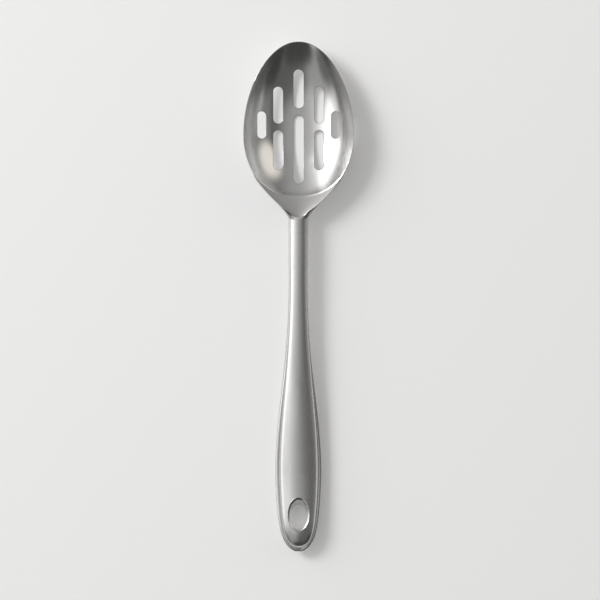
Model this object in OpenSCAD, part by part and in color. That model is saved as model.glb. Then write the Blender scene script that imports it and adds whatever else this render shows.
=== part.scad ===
// Slotted serving spoon: a stamped, slotted bowl whose tang runs into a hollow
// handle of two welded shells, with an oval sleeve lining the hanging hole.
// The spoon lies along Y with the tip at +Y, as it rests on a table: Z is up and
// zero is the table. Places along the spoon are counted from the tip backwards.

/* [Overall] */
// Length from the tip of the bowl to the end of the handle
overall_length = 335; // [315:1:355]

/* [Bowl] */
// Width of the bowl over its rim
bowl_width = 72.8; // [66:0.2:80]
// Distance from the tip back to the widest place of the bowl
bowl_front = 62; // [56:0.5:68]
// Distance from the widest place back to the end of the open bowl
bowl_rear = 51.4; // [48:0.2:55]
// Thickness of the bowl's sheet
bowl_wall = 1.2; // [0.9:0.05:1.5]
// Height of the rim at the widest place
rim_height = 19.5; // [17.5:0.1:21.5]
// Height of the rim at the tip
tip_height = 15; // [13:0.1:16.5]
// Distance from the widest place back to where the dish would rise to the rim's height
dish_rear = 41.8; // [39:0.2:45]
// Width over which the ridge between the dish and the trough is rounded
ridge_round = 1.5; // [0.6:0.1:3]
// Depth of the open trough where the bowl runs into the handle
trough_depth = 2.5; // [2:0.1:3]
// Width of the flat at the tip
tip_flat = 4; // [2:0.2:6]
// Width of the tang inside the handle
tang_width = 6.8; // [5:0.2:7.6]
// Length of the tang inside the handle
tang_length = 22; // [14:0.5:30]

/* [Slots] */
// Width of the slots in the middle column
slot_width_middle = 6.7; // [5.5:0.1:7.5]
// Width of the slots in the inner columns
slot_width_inner = 6.3; // [5.2:0.1:7]
// Width of the slots in the outer columns
slot_width_outer = 5.6; // [4.6:0.1:6.4]
// Distance from the middle column to each inner column
inner_column = 13.5; // [12:0.1:14.5]
// Distance from the middle column to each outer column
outer_column = 24.3; // [23:0.1:25.6]
// Start of the middle column's front slot, behind the tip
middle_front_start = 17.8; // [16.5:0.1:19]
// Length of the middle column's front slot
middle_front_length = 25; // [22:0.1:26.4]
// Start of the middle column's rear slot, behind the tip
middle_rear_start = 47.5; // [46:0.1:49]
// Length of the middle column's rear slot
middle_rear_length = 45.5; // [40:0.1:47]
// Start of the inner columns' front slots, behind the tip
inner_front_start = 29; // [27.5:0.1:30.5]
// Length of the inner columns' front slots
inner_front_length = 24; // [20:0.1:25]
// Start of the inner columns' rear slots, behind the tip
inner_rear_start = 57.5; // [56:0.1:59]
// Length of the inner columns' rear slots
inner_rear_length = 26.4; // [22:0.1:28]
// Start of the outer columns' slots, behind the tip
outer_start = 45.5; // [44:0.1:47]
// Length of the outer columns' slots
outer_length = 17.8; // [14:0.1:19]

/* [Handle] */
// Width of the neck, where the handle is narrowest
neck_width = 12.9; // [11.6:0.1:14.5]
// Width of the handle at its widest place
handle_width = 30.9; // [27:0.1:34]
// Distance from the end of the handle to its widest place
handle_wide_back = 52; // [46:0.5:58]
// Length of the slim neck behind the bowl before the handle widens
neck_length = 34.6; // [28:0.2:42]
// Height of the upper shell above the middle of the neck
neck_top = 4.3; // [3.9:0.1:4.9]
// Depth of the lower shell below the middle of the neck
neck_bottom = 4; // [3.6:0.1:4.6]
// Height of the upper shell above the middle of the wide handle
handle_top = 7.4; // [6.4:0.1:8.4]
// Depth of the lower shell below the middle of the wide handle
handle_bottom = 6.4; // [5.4:0.1:7.2]
// Height of the handle's middle above the table where it leaves the bowl
neck_height = 11.6; // [10.6:0.1:12.6]
// Extra height at the crest of the handle's bow
crest_rise = 1.2; // [0:0.1:3]
// Height that the end of the handle turns up by
end_rise = 2.6; // [1.8:0.1:4]
// Thickness of the two handle shells
shell_wall = 1; // [0.7:0.05:1.3]
// Width of the bevel on both edges of the seam
seam_bevel = 0.25; // [0.1:0.05:0.4]
// Reach of the lower shell's cradle along the rear rim of the bowl
cradle_reach = 25; // [20:0.5:30]
// Depth of the notch in the cradle's front edge
cradle_notch = 7; // [4:0.5:9]
// Bow of the edge where the open trough ends
crescent_bow = 1.8; // [0:0.1:3]
// Thickness of the cradle at its feathered front edge
cradle_edge = 0.5; // [0.3:0.05:0.8]
// Length of the rounded nose at the front of the upper shell
nose_length = 1.8; // [1.2:0.1:2.6]
// Height of that nose's front edge above the gap over the tang
nose_edge = 0.35; // [0.2:0.05:0.6]
// Width of the ledge that the lower shell leaves bare behind the end of the upper one
end_ledge = 2.4; // [1.4:0.1:3.2]

/* [Hanging hole] */
// Width of the oval opening
hole_width = 11.8; // [10:0.1:12.8]
// Length of the oval opening
hole_length = 18.6; // [16:0.1:20]
// Distance from the end of the handle to the middle of the opening
hole_back = 22.3; // [21.6:0.1:25]
// Thickness of the sleeve that lines the opening
sleeve_wall = 0.7; // [0.5:0.05:1]
// Width of the lip that the sleeve turns outwards over each shell
sleeve_lip = 0.8; // [0.5:0.05:1.1]
// Height of that lip above the upper shell
lip_height = 0.5; // [0.35:0.05:0.7]
// Lean of the opening, its top towards the bowl
hole_lean = 18; // [0:0.5:20]

/* [Fits] */
// Gap between the bowl and the shells that hold it
bowl_clearance = 0.12; // [0.05:0.01:0.3]
// Gap between the sleeve and the shells
sleeve_clearance = 0.1; // [0.05:0.01:0.25]

/* [Hidden] */

// Steps that the surfaces are divided into
front_steps = 18;
rear_steps = 15;
tang_steps = 3;
across_steps = 26;
cradle_steps = 9;
nose_steps = 3;
neck_steps = 6;
flare_steps = 14;
end_steps = 13;
arc_steps = 16;
oval_steps = 48;
slot_facets = 32;

// Shares that shape the curves
tip_pinch_share = 0.045;
rear_power_share = 0.8;
outer_rear_power_share = 0.776;
dish_power_share = 2.7;
tip_power_share = 3.5;
trough_side_start_share = 0.35;
trough_side_share = 0.5;
trough_side_rise_share = 0.25;
rim_angle_share = 0.55;
ledge_height_share = 0.35;
ledge_wall_power_share = 12;
ledge_back_power_share = 5;
lip_crest_share = 0.25;
flare_power_share = 1.25;
end_taper_share = 0.265;
end_taper_power_share = 1.6;
end_round_power_share = 6.5;
end_nose_share = 0.995;
end_rise_power_share = 1.5;

// Angles: of the seam above the middle of the handle, and of the end of the tip's flat
seam_angle = 32;
tip_angle = asin(tip_flat / bowl_width);

// Places along the spoon, behind the tip
crescent = bowl_front + bowl_rear;
rim_close = crescent + bowl_wall + cradle_edge;
tang_end = crescent + tang_length;
flare_start = crescent + neck_length;
handle_wide = overall_length - handle_wide_back;
cradle_front = crescent - cradle_reach;
cradle_full = crescent + neck_width / 2;
handle_front = crescent + bowl_clearance;
hole_place = overall_length - hole_back;

// Heights
trough_floor = neck_height + neck_top - trough_depth;
rim_neck_height = neck_height + neck_top - bowl_clearance;
rim_inset = bowl_wall * rim_angle_share;
rim_drop = bowl_wall * sqrt(1 - rim_angle_share * rim_angle_share);
cut_overrun = bowl_wall;

// A smooth rise from 0 to 1 as u goes from 0 to 1
function smooth(u) = let(v = min(1, max(0, u))) v * v * (3 - 2 * v);
function mix(a, b, u) = a + (b - a) * u;

// How far a point near the end of the trough is drawn back by the bow there
function bow(x, s) =
    let(near = max(0, 1 - abs(s - crescent) / neck_width), side = min(1, 2 * abs(x) / neck_width))
    crescent_bow * near * near * (1 - side * side);
function place(x, s, z) = [x, -s - bow(x, s), z];

// The larger of two values, with the corner between them rounded over a width
function round_max(a, b, width) =
    let(h = max(0, width - abs(a - b)) / width)
    max(a, b) + h * h * width / 4;

// The smaller of two values, rounded over a width in the same way
function round_min(a, b, width) =
    let(h = width > 0 ? max(0, width - abs(a - b)) / width : 0)
    min(a, b) - h * h * width / 4;

// Half-width of the bowl's plan behind its widest place
function rear_half(s, reach, power) =
    let(v = min(1, (s - bowl_front) / reach))
    bowl_width / 2 * pow(max(0, 1 - v * v), power);

// Half-width of the bowl over its rim, and the height of that rim
function bowl_half(s) = max(tang_width / 2, rear_half(s, rim_close - bowl_front, rear_power_share));
function rim_z(s) =
    s < bowl_front
    ? rim_height - (rim_height - tip_height) * pow((bowl_front - s) / bowl_front, 2)
    : rim_height - (rim_height - rim_neck_height) * pow((s - bowl_front) / bowl_rear, 2);

// Height of the dish's front, which stays flat until close to the rim
function front_z(s, side, low) =
    let(along = pow((bowl_front - s) / bowl_front, tip_power_share))
    mix(low, rim_z(s), 1 - (1 - along) * (1 - pow(abs(side), dish_power_share)));

// Height of the dish's rounded rear, which would rise past the ridge
function rear_z(s, x, widest, low) =
    mix(low, rim_z(s), pow(norm([(s - bowl_front) / dish_rear, x / widest]), dish_power_share));

// Height of the trough and of the shoulders beside it
function trough_z(s, side) =
    let(wall = smooth((abs(side) - trough_side_start_share) / trough_side_share))
    rim_z(s) - (rim_neck_height - trough_floor) * (1 - mix(side * side, wall, trough_side_rise_share));

// Height of the bowl's surface at a share of its half-width, set in from the rim by inset
function bowl_z(s, side, half, inset, low) =
    s < bowl_front
    ? front_z(s, side, low)
    : let(
        dish = rear_z(s, side * half, bowl_width / 2 - inset, low),
        ridge = round_min(dish, trough_z(s, side), ridge_round * (1 - side * side)),
        start = smooth((s - bowl_front) / (dish_rear / 2))
    )
    min(rim_z(s), mix(dish, ridge, start));

// Stations of the bowl as [place of the rim, half-width over the rim]
bowl_front_stations = [
    for (i = [0 : front_steps - 1])
    let(a = mix(tip_angle, 90, i / front_steps), t = cos(a) / cos(tip_angle))
    [bowl_front * (1 - t), bowl_width / 2 * sin(a) * (1 - tip_pinch_share * t * t)]
];
bowl_rear_stations = [
    for (i = [0 : rear_steps])
    let(s = mix(bowl_front, crescent, sin(90 * i / rear_steps)))
    [s, bowl_half(s)]
];
bowl_stations = concat(bowl_front_stations, bowl_rear_stations);

// One closed loop round the bowl's sheet: the inside, then the underside
function bowl_loop(station) =
    let(
        s = station[0],
        half = station[1],
        inner_s = s < bowl_front ? mix(rim_inset, bowl_front, s / bowl_front) : s,
        inner_half = max(tip_flat / 2, half - rim_inset)
    )
    concat(
        [
            for (i = [0 : across_steps])
            let(side = spread(i))
            place(side * inner_half, inner_s, bowl_z(s, side, inner_half, rim_inset, bowl_wall))
        ],
        [
            for (i = [across_steps : -1 : 0])
            let(side = spread(i))
            place(side * half, s, bowl_z(s, side, half, 0, 0) - under_drop(s, side))
        ]
    );

// Steps across the sheet, closer together towards the rim
function spread(i) = sin(90 * (2 * i / across_steps - 1));

// How far the underside lies below the inside, measured straight down
function under_drop(s, side) =
    s < bowl_front
    ? rim_drop * mix(pow(1 - s / bowl_front, 2), 1, side * side)
    : let(raise = smooth((s - bowl_front) / dish_rear))
    mix(bowl_wall * raise, rim_drop, side * side);

// One loop round the flat tang, at a place behind the open bowl
function tang_loop(s) =
    concat(
        [
            for (i = [0 : across_steps])
            place(spread(i) * tang_width / 2, s, trough_floor)
        ],
        [
            for (i = [across_steps : -1 : 0])
            place(spread(i) * tang_width / 2, s, trough_floor - bowl_wall)
        ]
    );

// A closed skin over loops that all have as many points, with flat ends
module loft(loops) {
    count = len(loops[0]);
    last = len(loops) - 1;
    half = count / 2;
    sides = [
        for (i = [0 : last - 1], j = [0 : count - 1])
        let(a = i * count + j, b = i * count + (j + 1) % count)
        each [[a, b, b + count], [a, b + count, a + count]]
    ];
    ends = [
        for (i = [0, last], j = [0 : half - 2])
        let(
            a = i * count + j,
            b = a + 1,
            c = i * count + count - 2 - j,
            d = c + 1
        )
        each i == 0 ? [[b, a, d], [b, d, c]] : [[a, b, d], [b, c, d]]
    ];
    polyhedron(points = [for (loop = loops) each loop], faces = concat(sides, ends));
}

// A slot with round ends, cut straight down through the bowl
module slot(across, start, long, wide) {
    translate([across, -start - long / 2, -cut_overrun])
    linear_extrude(rim_height + 2 * cut_overrun) {
        square([wide, long - wide], center = true);
        for (end = [-1, 1])
        translate([0, end * (long - wide) / 2])
        circle(d = wide, $fn = slot_facets);
    }
}

module slots() {
    slot(0, middle_front_start, middle_front_length, slot_width_middle);
    slot(0, middle_rear_start, middle_rear_length, slot_width_middle);
    for (side = [-1, 1]) {
        slot(side * inner_column, inner_front_start, inner_front_length, slot_width_inner);
        slot(side * inner_column, inner_rear_start, inner_rear_length, slot_width_inner);
        slot(side * outer_column, outer_start, outer_length, slot_width_outer);
    }
}

module bowl() {
    loops = concat(
        [for (station = bowl_stations) bowl_loop(station)],
        [for (i = [0 : tang_steps]) tang_loop(mix(crescent + bowl_clearance / 2, tang_end, i / tang_steps))]
    );
    color("silver")
    translate([0, overall_length / 2, 0])
    difference() {
        loft(loops);
        slots();
    }
}

// The handle's share of the way from neck to widest place, and from there to the end
function flare(s) = smooth_cosine((s - flare_start) / (handle_wide - flare_start));
function smooth_cosine(u) = (1 - cos(180 * pow(min(1, max(0, u)), flare_power_share))) / 2;
function ending(s, finish) = min(1, max(0, s - handle_wide) / (finish - handle_wide));
function end_round(v) = sqrt(1 - pow(v * end_nose_share, end_round_power_share));

// Half-width, height and depth of the handle's skin, set in from the outside by inset
function handle_half(s, inset) =
    let(v = ending(s, overall_length - inset), taper = 1 - end_taper_share * pow(v, end_taper_power_share))
    (mix(neck_width, handle_width, flare(s)) / 2 - inset) * taper * end_round(v);
function handle_up(s, inset) =
    (mix(neck_top, handle_top, flare(s)) - inset) * end_round(ending(s, overall_length - inset));
function handle_down(s, inset) =
    (mix(neck_bottom, handle_bottom, flare(s)) - inset) * end_round(ending(s, overall_length - inset));

// Height of the handle's middle line above the table
function handle_z(s) =
    mix(neck_height, handle_bottom, smooth((s - crescent) / (handle_wide - crescent)))
    + crest_rise * pow(sin(180 * min(1, max(0, s - crescent) / (handle_wide - crescent))), 2)
    + end_rise * pow(ending(s, overall_length), end_rise_power_share);

// Share of the oval section's height that the lower shell's ledge lacks, none at the neck
function ledge_drop(s) = (1 - ledge_height_share) * flare(s);
function seam_fall(s) = sin(seam_angle) * ledge_drop(s);

// Share of the way up from the seam to the crest of the upper shell, which falls to the
// ledge in a steep wall. up and side are the sine and cosine of the angle round it.
function dome(s, up, side) =
    let(fall = seam_fall(s), wall = fall * pow(side / cos(seam_angle), ledge_wall_power_share))
    (up - wall - sin(seam_angle) + fall) / (1 - sin(seam_angle) + fall);

// How far the skin is drawn back at the end of the handle, which bares the ledge
function ledge_back(s, a) =
    let(turn = sin(a) > 0 ? min(1, (1 - abs(cos(a))) / (1 - cos(seam_angle))) : 0)
    end_ledge * turn * pow(ending(s, overall_length), ledge_back_power_share);

// How far the cradle under the bowl has turned into the handle, 0 to 1
function cradle_share(s) = smooth((s - cradle_front) / (cradle_full - cradle_front));

// Half-width of the whole outline, where the cradle runs out from the neck
function outline_half(s, inset) =
    s > flare_start
    ? handle_half(s, inset)
    : round_max(
        rear_half(s, rim_close - bowl_front + 2 * cradle_edge, outer_rear_power_share),
        handle_half(s, 0),
        neck_width / 1.5
    ) - inset;

// Height of the lower shell's edge beside the bowl's rim
function cradle_edge_z(s) = rim_z(min(s, crescent)) - rim_drop - bowl_clearance;

// Height of the cradle's inside along the middle: close under the dish, then the handle's
function cradle_floor(s) =
    let(near = min(s, crescent), under = bowl_z(near, 0, bowl_half(near), 0, 0) - under_drop(near, 0))
    min(under, neck_height - neck_bottom + cradle_edge) - 2 * bowl_clearance;

// A point of the lower shell's skin, t going from 0 to 1 round its underside
function lower_point(s, at, t, inset) =
    let(
        a = seam_angle - t * (180 + 2 * seam_angle),
        half = outline_half(s, inset),
        sink = inset * end_round(ending(s, overall_length)) / sin(seam_angle),
        ledge = mix(handle_up(s, inset), -sink, ledge_drop(s)),
        height = sin(a) > 0 ? ledge : handle_down(s, inset),
        grip = [half * cos(a), handle_z(s) + height * sin(a)],
        side = 1 - 2 * t,
        depth = min(1, inset / shell_wall),
        cup_half = mix(outline_half(s, 0), bowl_half(s) + bowl_clearance, depth),
        cup_low = cradle_floor(s) - cradle_edge * (1 - depth),
        cup = [cup_half * side, mix(cup_low, cradle_edge_z(s), pow(abs(side), dish_power_share))],
        point = mix(cup, grip, cradle_share(s))
    )
    place(point[0], at - ledge_back(s, a), point[1]);

// A point of the upper shell's skin, t going from 0 to 1 over its top
function upper_point(s, at, t, inset) =
    let(
        a = seam_angle + t * (180 - 2 * seam_angle),
        edge = lower_point(s, at, 0, inset),
        rise = dome(s, sin(a), abs(cos(a))),
        full_z = mix(edge[2], handle_z(s) + handle_up(s, inset), rise),
        on_seam = t == 0 || t == 1,
        tang_gap = trough_floor + bowl_clearance,
        front_wall = inset > 0 && nose(s) < 1,
        nose_z = front_wall ? tang_gap : mix(tang_gap + nose_edge, full_z, nose(s)),
        x = edge[0] * cos(a) / cos(seam_angle)
    )
    place(x, at - ledge_back(s, a), on_seam || inset > 0 && !front_wall ? full_z : min(full_z, nose_z));

// The upper shell's share of its full height over the rounded nose at its front
function nose(s) = sqrt(1 - pow(1 - min(1, max(0, s - handle_front) / nose_length), 2));

// Where the inside of a shell lies for a place on its outside
function inner_place(s) =
    s < handle_wide
    ? s
    : mix(handle_wide, overall_length - shell_wall, (s - handle_wide) / handle_wide_back);

// Shares of the way round a skin. The outside starts and ends on the seam's bevel.
function around(j, s, inset, upper) =
    let(
        turn = seam_bevel / outline_half(s, 0) * 180 / PI,
        start = turn / (180 + (upper ? -2 : 2) * seam_angle)
    )
    inset > 0 || j == 0 || j == arc_steps
    ? j / arc_steps
    : mix(start, 1 - start, (j - 1) / (arc_steps - 2));

function skin_point(s, at, j, inset, upper) =
    let(
        on_edge = j == 0 || j == arc_steps,
        t = around(j, s, inset, upper),
        depth = inset == 0 && on_edge ? seam_bevel : inset
    )
    upper ? upper_point(s, at, t, depth) : lower_point(s, at, t, depth);

function row(s, at, inset, upper) = [
    for (j = [0 : arc_steps]) skin_point(s, at, j, inset, upper)
];

// A row round the cradle, whose front edge is notched between its two arms
function cradle_row(share, inset) = [
    for (j = [0 : arc_steps])
    let(
        side = 1 - 2 * j / arc_steps,
        s = mix(cradle_front + cradle_notch * (1 - side * side), handle_front, share)
    )
    skin_point(s, s, j, inset, false)
];

handle_stations = concat(
    [for (i = [0 : nose_steps]) handle_front + nose_length * (1 - cos(90 * i / nose_steps))],
    [for (i = [1 : neck_steps]) mix(handle_front + nose_length, flare_start, i / neck_steps)],
    [for (i = [1 : flare_steps]) mix(flare_start, handle_wide, i / flare_steps)],
    [for (i = [1 : end_steps]) handle_wide + handle_wide_back * sin(90 * i / end_steps)]
);

// A shell between two skins given as rows of points: open in front, closed behind.
// The points of a row run over the top, or round the underside where under is true.
module shell(outer, inner, under) {
    wide = len(outer[0]);
    count = 2 * wide;
    last = len(outer) - 1;
    base = last * count;
    sides = [
        for (i = [0 : last - 1], j = [0 : count - 1])
        let(a = i * count + j, b = i * count + (j + 1) % count)
        each [[a, b + count, b], [a, a + count, b + count]]
    ];
    front = [
        for (j = [0 : wide - 2])
        each [[j, j + 1, count - 1 - j], [j + 1, count - 2 - j, count - 1 - j]]
    ];
    back = concat(
        [for (j = [1 : wide - 2]) [base, base + j + 1, base + j]],
        [for (j = [1 : wide - 2]) [base + wide, base + wide + j + 1, base + wide + j]],
        [[base, base + wide, base + wide - 1], [base, base + count - 1, base + wide]]
    );
    points = [
        for (i = [0 : last])
        each concat(outer[i], [for (j = [wide - 1 : -1 : 0]) inner[i][j]])
    ];
    faces = concat(sides, front, back);
    polyhedron(points = points, faces = under ? [for (f = faces) [f[0], f[2], f[1]]] : faces);
}

// The rows of one skin of a shell, from its front edge to its closed end
function handle_rows(inset, upper) = [
    for (s = handle_stations) row(s, inset > 0 ? inner_place(s) : s, inset, upper)
];
function cradle_rows(inset) = [
    for (i = [0 : cradle_steps - 1]) cradle_row(i / cradle_steps, inset)
];

module handle_upper_shell() {
    color("lightgray")
    translate([0, overall_length / 2, 0])
    difference() {
        shell(handle_rows(0, true), handle_rows(shell_wall, true), false);
        hole_cut();
    }
}

module handle_lower_shell() {
    color("darkgray")
    translate([0, overall_length / 2, 0])
    difference() {
        shell(
            concat(cradle_rows(0), handle_rows(0, false)),
            concat(cradle_rows(shell_wall), handle_rows(shell_wall, false)),
            true
        );
        hole_cut();
    }
}

// The oval opening through both shells, leaning towards the bowl at its top
module hole_cut() {
    grow = sleeve_wall + sleeve_clearance;
    translate([0, -hole_place, handle_z(hole_place)])
    rotate([-hole_lean, 0, 0])
    linear_extrude(2 * (handle_top + handle_bottom), center = true)
    polygon([
        for (i = [0 : oval_steps - 1])
        let(a = 360 * i / oval_steps)
        [(hole_width / 2 + grow) * cos(a), (hole_length / 2 + grow) * sin(a)]
    ]);
}

// A point round the opening, grown outwards, at a distance along its leaning axis
function hole_point(a, grow, along) =
    let(x = (hole_width / 2 + grow) * cos(a), y = (hole_length / 2 + grow) * sin(a))
    [
        x,
        y * cos(hole_lean) + along * sin(hole_lean) - hole_place,
        along * cos(hole_lean) - y * sin(hole_lean) + handle_z(hole_place)
    ];

// Height of the handle's skin, upper or lower, over a place in the plan
function skin_z(x, s, upper) =
    let(side = min(1, abs(x) / handle_half(s, 0)), lift = sqrt(1 - side * side))
    handle_z(s) + (
        upper
        ? handle_up(s, 0) * mix(sin(seam_angle) - seam_fall(s), 1, dome(s, lift, side))
        : -handle_down(s, 0) * lift
    );

// The point round the opening that stands off the skin by rise, found by closing in on it
function seat_point(a, grow, rise, upper, along = 0, tries = 6) =
    let(
        point = hole_point(a, grow, along),
        wanted = skin_z(point[0], -point[1], upper) + (upper ? rise : -rise)
    )
    tries == 0 ? point : seat_point(a, grow, rise, upper, along + wanted - point[2], tries - 1);

module hanging_hole_sleeve() {
    lip = sleeve_wall + sleeve_lip;
    loops = [
        for (i = [0 : oval_steps - 1])
        let(a = 360 * i / oval_steps)
        [
            seat_point(a, 0, -lip_height / 2, true),
            seat_point(a, sleeve_wall + sleeve_lip * lip_crest_share, lip_height, true),
            seat_point(a, lip, lip_height / 2, true),
            seat_point(a, lip, sleeve_clearance, true),
            seat_point(a, sleeve_wall, sleeve_clearance, true),
            seat_point(a, sleeve_wall, sleeve_clearance, false),
            seat_point(a, lip, sleeve_clearance, false),
            seat_point(a, lip, lip_height / 2, false),
            seat_point(a, sleeve_wall / 2, lip_height / 2, false),
            seat_point(a, 0, 0, false)
        ]
    ];
    count = len(loops[0]);
    total = count * oval_steps;
    color("gainsboro")
    translate([0, overall_length / 2, 0])
    polyhedron(
        points = [for (loop = loops) each loop],
        faces = [
            for (i = [0 : oval_steps - 1], j = [0 : count - 1])
            let(
                a = i * count + j,
                b = i * count + (j + 1) % count,
                c = (b + count) % total,
                d = (a + count) % total
            )
            each [[a, c, b], [a, d, c]]
        ]
    );
}

bowl();
handle_upper_shell();
handle_lower_shell();
hanging_hole_sleeve();
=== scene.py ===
"""Slotted serving spoon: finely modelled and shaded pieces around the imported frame.

Lengths are written in millimetres and turned into metres when a mesh is made. The spoon
lies along Y with its tip at +Y, and places along it are counted backwards from the tip.
"""

import math

import bpy
import numpy as np
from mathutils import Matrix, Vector
from mathutils.geometry import delaunay_2d_cdt


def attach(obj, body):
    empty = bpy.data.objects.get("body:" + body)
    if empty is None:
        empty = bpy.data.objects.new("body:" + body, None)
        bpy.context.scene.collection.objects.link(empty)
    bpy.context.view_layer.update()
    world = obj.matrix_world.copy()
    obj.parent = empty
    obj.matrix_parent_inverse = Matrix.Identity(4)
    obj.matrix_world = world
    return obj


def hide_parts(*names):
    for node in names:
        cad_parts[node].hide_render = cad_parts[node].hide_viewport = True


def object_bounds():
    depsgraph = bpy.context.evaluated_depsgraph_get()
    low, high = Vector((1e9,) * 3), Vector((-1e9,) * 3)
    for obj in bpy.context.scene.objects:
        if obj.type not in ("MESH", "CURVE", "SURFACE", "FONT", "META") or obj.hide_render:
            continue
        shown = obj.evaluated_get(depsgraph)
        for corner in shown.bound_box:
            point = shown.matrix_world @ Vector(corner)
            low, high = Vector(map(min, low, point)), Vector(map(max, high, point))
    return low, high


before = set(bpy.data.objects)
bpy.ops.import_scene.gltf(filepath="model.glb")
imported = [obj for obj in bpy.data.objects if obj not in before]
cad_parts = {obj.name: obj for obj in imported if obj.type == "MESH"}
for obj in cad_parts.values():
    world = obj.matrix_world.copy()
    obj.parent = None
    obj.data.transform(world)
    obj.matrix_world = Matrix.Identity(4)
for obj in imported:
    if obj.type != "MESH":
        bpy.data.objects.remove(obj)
cad_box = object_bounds()

MM = 0.001
LENGTH = (cad_box[1].y - cad_box[0].y) / MM

# Bowl
BOWL_WIDTH = 72.8
BOWL_FRONT = 62.0
BOWL_REAR = 51.4
BOWL_WALL = 1.2
RIM_HEIGHT = 19.5
TIP_HEIGHT = 15.0
DISH_REAR = 41.8
TROUGH_DEPTH = 0.8
RIDGE_ROUND = 0.8
TIP_FLAT = 4.0
RIM_ROUND = 0.3
RIM_ROUND_UNDER = 0.15
SLOT_ROUND = 0.24

# The tang, which goes on inside the handle
TANG_WIDTH = 6.8
TANG_LENGTH = 22.0
TANG_THICKNESS = 1.08
TANG_OVERLAP = 1.8
TANG_SINK = 0.06

# Slots as (across, start behind the tip, length, width)
SLOTS = [(0.0, 17.8, 25.0, 6.7), (0.0, 47.5, 45.5, 6.7)]
for side in (-1, 1):
    SLOTS.append((side * 13.5, 29.0, 24.0, 6.3))
    SLOTS.append((side * 13.5, 57.5, 26.4, 6.3))
    SLOTS.append((side * 24.3, 45.5, 17.8, 5.6))

# Handle
NECK_WIDTH = 12.9
NECK_LENGTH = 34.6
NECK_HEIGHT = 11.6
NECK_TOP = 4.3
NECK_BOTTOM = 4.0
HANDLE_WIDTH = 30.9
HANDLE_WIDE_BACK = 52.0
HANDLE_TOP = 7.4
HANDLE_BOTTOM = 6.4
CREST_RISE = 1.2
END_RISE = 2.6
END_LEDGE = 2.4
SHELL_WALL = 1.0
SEAM_BEVEL = 0.42
NOSE_LENGTH = 1.8
NOSE_EDGE = 0.35

# The lower shell's front, which cradles the rear of the bowl
CRADLE_REACH = 25.0
CRADLE_NOTCH = 7.0
CRADLE_EDGE = 0.5
CRADLE_JOIN = NECK_WIDTH / 1.5
CRESCENT_BOW = 1.8

# Hanging hole and its sleeve
HOLE_WIDTH = 11.8
HOLE_LENGTH = 18.6
HOLE_BACK = 22.3
HOLE_LEAN = math.radians(18)
HOLE_CUT_REACH = 14.0
SLEEVE_WALL = 0.7
SLEEVE_LIP = 0.8
LIP_HEIGHT = 0.5

BOWL_CLEARANCE = 0.12
SLEEVE_CLEARANCE = 0.1

# Shares and powers that shape the curves
TIP_PINCH = 0.045
REAR_POWER = 0.8
OUTER_REAR_POWER = 0.776
DISH_POWER = 2.7
TIP_POWER = 3.5
TROUGH_FALL = 0.25
RIM_SINE = 0.25
TANG_TAPER = 0.8
NOSE_POWER = 1.25
FLARE_POWER = 1.25
LEDGE_HEIGHT = 0.35
LEDGE_WALL_POWER = 30
LEDGE_BACK_POWER = 5
LEDGE_FLAT_POWER = 2.4
END_TAPER = 0.265
END_TAPER_POWER = 1.6
END_ROUND_POWER = 6.5
END_NOSE = 0.995
END_RISE_POWER = 1.5
LIP_CREST = 0.8
LIP_SHOULDER = 0.7
LIP_FALL = 1.4
LIP_TURN = 0.35
SEAM = math.radians(32)

# Places behind the tip, heights, and what follows from the sizes above
CRESCENT = BOWL_FRONT + BOWL_REAR
RIM_CLOSE = CRESCENT + BOWL_WALL + CRADLE_EDGE
FLARE_START = CRESCENT + NECK_LENGTH
HANDLE_WIDE = LENGTH - HANDLE_WIDE_BACK
CRADLE_FRONT = CRESCENT - CRADLE_REACH
CRADLE_FULL = CRESCENT + NECK_WIDTH / 2
HANDLE_FRONT = CRESCENT + BOWL_CLEARANCE
HOLE_PLACE = LENGTH - HOLE_BACK
TROUGH_FLOOR = NECK_HEIGHT + NECK_TOP - TROUGH_DEPTH
RIM_NECK_HEIGHT = NECK_HEIGHT + NECK_TOP - BOWL_CLEARANCE
RIM_INSET = BOWL_WALL * RIM_SINE
RIM_DROP = BOWL_WALL * math.sqrt(1 - RIM_SINE ** 2)
TIP_COSINE = math.sqrt(1 - (TIP_FLAT / BOWL_WIDTH) ** 2)

# How finely the meshes are drawn
FRONT_STEPS = 150
REAR_STEPS = 110
TROUGH_STEPS = 14
TIP_STEPS = 6
SLOT_END_STEPS = 18
SLOT_STEP = 0.5
FILL_SPACING = 0.8
FILL_START = 0.4
FILL_COLUMNS = 40
FILL_GAP = 0.5
FILL_SLACK = 0.999
FILL_TOLERANCE = 1e-5
TANG_STATIONS = 8
NOSE_STATIONS = 16
NECK_STATIONS = 44
GRIP_STATIONS = 110
END_STEPS = 70
CRADLE_STEPS = 60
SKIN_COLUMNS = 72
BEVEL_STEP = 0.35
BEVEL_MOST = 0.2
HOLE_STEPS = 96
SLEEVE_STEPS = 144
SEAT_ROUNDS = 10
SHARP_ANGLE = math.radians(50)
TINY = 1e-6

# Shares of the way round each rounded edge that get a ring of points
RIM_OVER = (0.3, 0.6)
RIM_UNDER = (0.4, 0.7)
SLOT_OVER = (0.35, 0.7)
SLOT_UNDER = (0.3, 0.65)
LIP_ROUND = (0.2, 0.4, 0.6, 0.8, 1.0)

# How far in and how far apart the bowl's normals are taken
NORMAL_SHARE = 0.997
NORMAL_STEP = 0.02


def mix(a, b, u):
    return a + (b - a) * u


def smooth(u):
    v = np.clip(u, 0, 1)
    return v * v * (3 - 2 * v)


def round_max(a, b, width):
    """The larger of two values, with the corner between them rounded over a width."""
    h = np.clip(width - np.abs(a - b), 0, None) / width
    return np.maximum(a, b) + h * h * width / 4


def round_min(a, b, width):
    """The smaller of two values, rounded alike over a width that may fall to nothing."""
    h = np.clip(width - np.abs(a - b), 0, None)
    return np.minimum(a, b) - h * h / (4 * np.maximum(width, TINY))


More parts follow.
